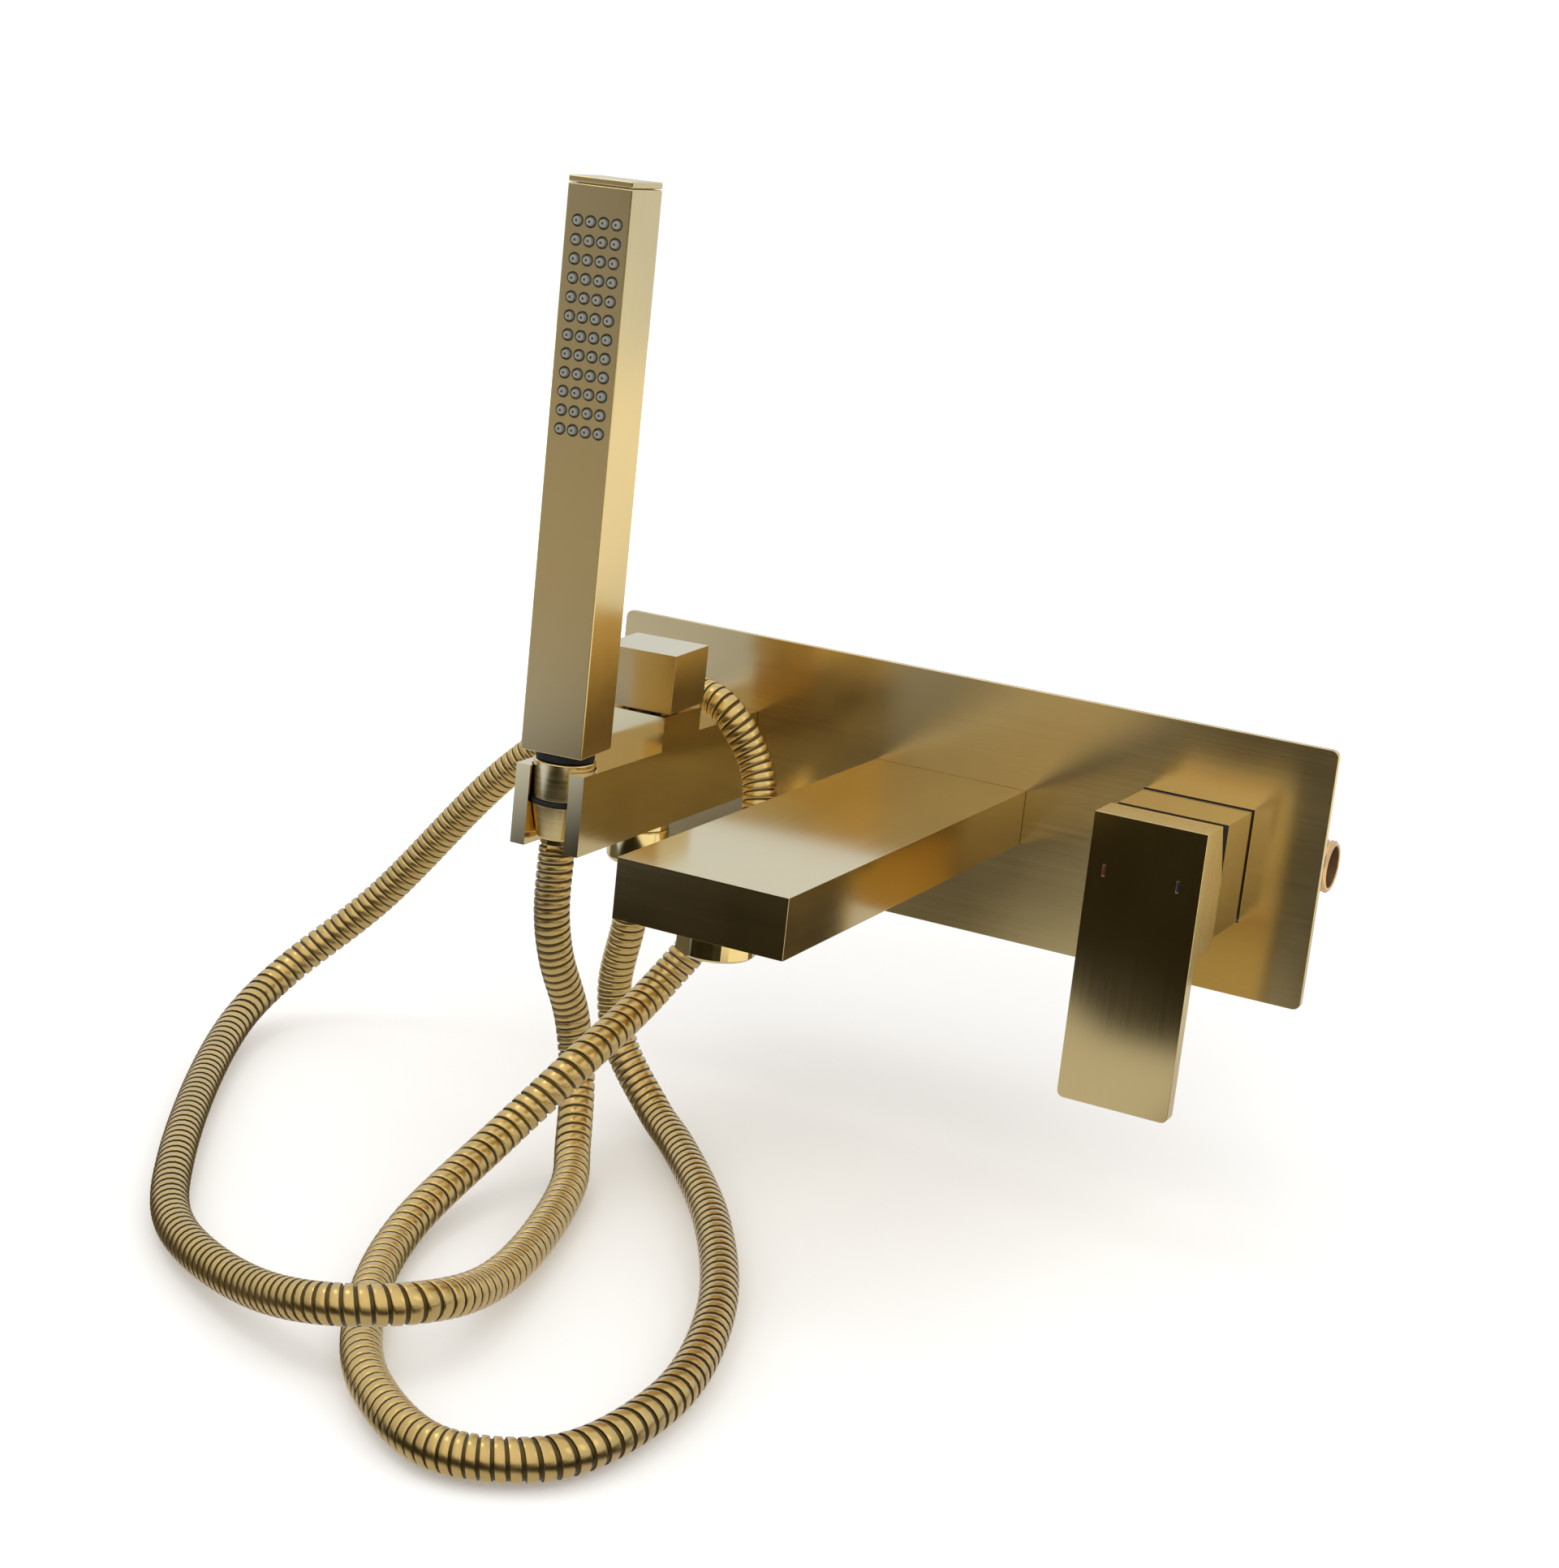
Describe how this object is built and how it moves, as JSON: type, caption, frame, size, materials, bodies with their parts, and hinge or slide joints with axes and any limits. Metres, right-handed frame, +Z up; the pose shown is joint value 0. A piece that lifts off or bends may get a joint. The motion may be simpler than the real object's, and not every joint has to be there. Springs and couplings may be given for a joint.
{
  "type": "wall mounted bath faucet",
  "caption": "Wall mounted bath faucet in brushed brass: block spout, lever mixer, diverter with a square stick hand shower in its cradle and a metal hose.",
  "frame": {"origin": "centre of the back of the wall plate, on the surface of the wall", "axes": "+X to the right along the wall, +Y into the wall, +Z up; the faucet stands out towards -Y"},
  "size_m": [0.4337, 0.4256, 0.3776],
  "materials": {
    "brass_satin": "brushed, antique gold",
    "brass_hose": "coiled strip, satin",
    "raw_brass": "machined, unplated",
    "steel_screw": "plain",
    "black_rubber": "black",
    "nozzle_silicone": "light grey",
    "grey_plastic": "moulded",
    "hot_red": "red enamel",
    "cold_blue": "blue enamel"
  },
  "bodies": {
    "fixed_body": {"wall_plate": "brass_satin", "plate_gasket": "black_rubber", "valve_body": "raw_brass", "body_screw_left": "steel_screw", "body_screw_right": "steel_screw", "hot_inlet_nipple": "raw_brass", "cold_inlet_nipple": "raw_brass", "spout_nipple": "raw_brass", "diverter_nipple": "raw_brass", "spout_port_washer": "black_rubber", "diverter_port_washer": "black_rubber", "spout_body": "brass_satin", "aerator_housing": "brass_satin", "aerator_insert": "grey_plastic", "aerator_washer": "black_rubber", "mixer_cartridge": "grey_plastic", "cartridge_seal": "black_rubber", "cartridge_retaining_nut": "raw_brass", "lever_base": "brass_satin", "diverter_body": "brass_satin", "diverter_cartridge": "grey_plastic", "diverter_retaining_nut": "raw_brass", "outlet_nipple": "brass_satin", "check_valve": "grey_plastic", "hose_union_nut": "brass_satin", "union_washer": "black_rubber", "hose_ferrule_lower": "brass_satin", "shower_hose": "brass_hose"},
    "mixer_carrier": {"mixer_turntable": "grey_plastic"},
    "lever": {"lever_handle": "brass_satin", "cartridge_stem": "steel_screw", "lever_grub_screw": "steel_screw", "lever_screw_plug": "brass_satin", "hot_mark": "hot_red", "cold_mark": "cold_blue"},
    "diverter_control": {"diverter_knob": "brass_satin", "diverter_stem": "steel_screw", "diverter_knob_screw": "steel_screw"},
    "hose_end": {"hose_cone_nut": "brass_satin", "cone_washer": "black_rubber", "hose_ferrule_upper": "brass_satin", "cone_o_ring": "black_rubber"},
    "handset": {"handset_collar": "brass_satin", "handset_gasket": "black_rubber", "handset_body": "brass_satin", "handset_end_cap": "brass_satin", "handset_flow_tube": "grey_plastic", "nozzle_mat": "nozzle_silicone", "spray_chamber": "grey_plastic"}
  },
  "joints": [
    {"name": "mixer_turn", "type": "hinge", "parent": "fixed_body", "child": "mixer_carrier", "pos_m": [0.1035, -0.0331, 0], "axis": [0, -1, 0], "range_deg": [-45, 45]},
    {"name": "lever_lift", "type": "hinge", "parent": "mixer_carrier", "child": "lever", "pos_m": [0.1035, -0.0331, 0.002], "axis": [-1, 0, 0], "range_deg": [0, 19]},
    {"name": "diverter_turn", "type": "hinge", "parent": "fixed_body", "child": "diverter_control", "pos_m": [-0.1035, -0.0693, 0], "axis": [0, 0, 1], "range_deg": [0, 90]},
    {"name": "handset_lift", "type": "slide", "parent": "fixed_body", "child": "hose_end", "axis": [0, 0, 1], "range_m": [0, 0.035]},
    {"name": "handset_turn", "type": "hinge", "parent": "hose_end", "child": "handset", "pos_m": [-0.1035, -0.1327, 0], "axis": [0, 0, 1], "continuous": true}
  ]
}
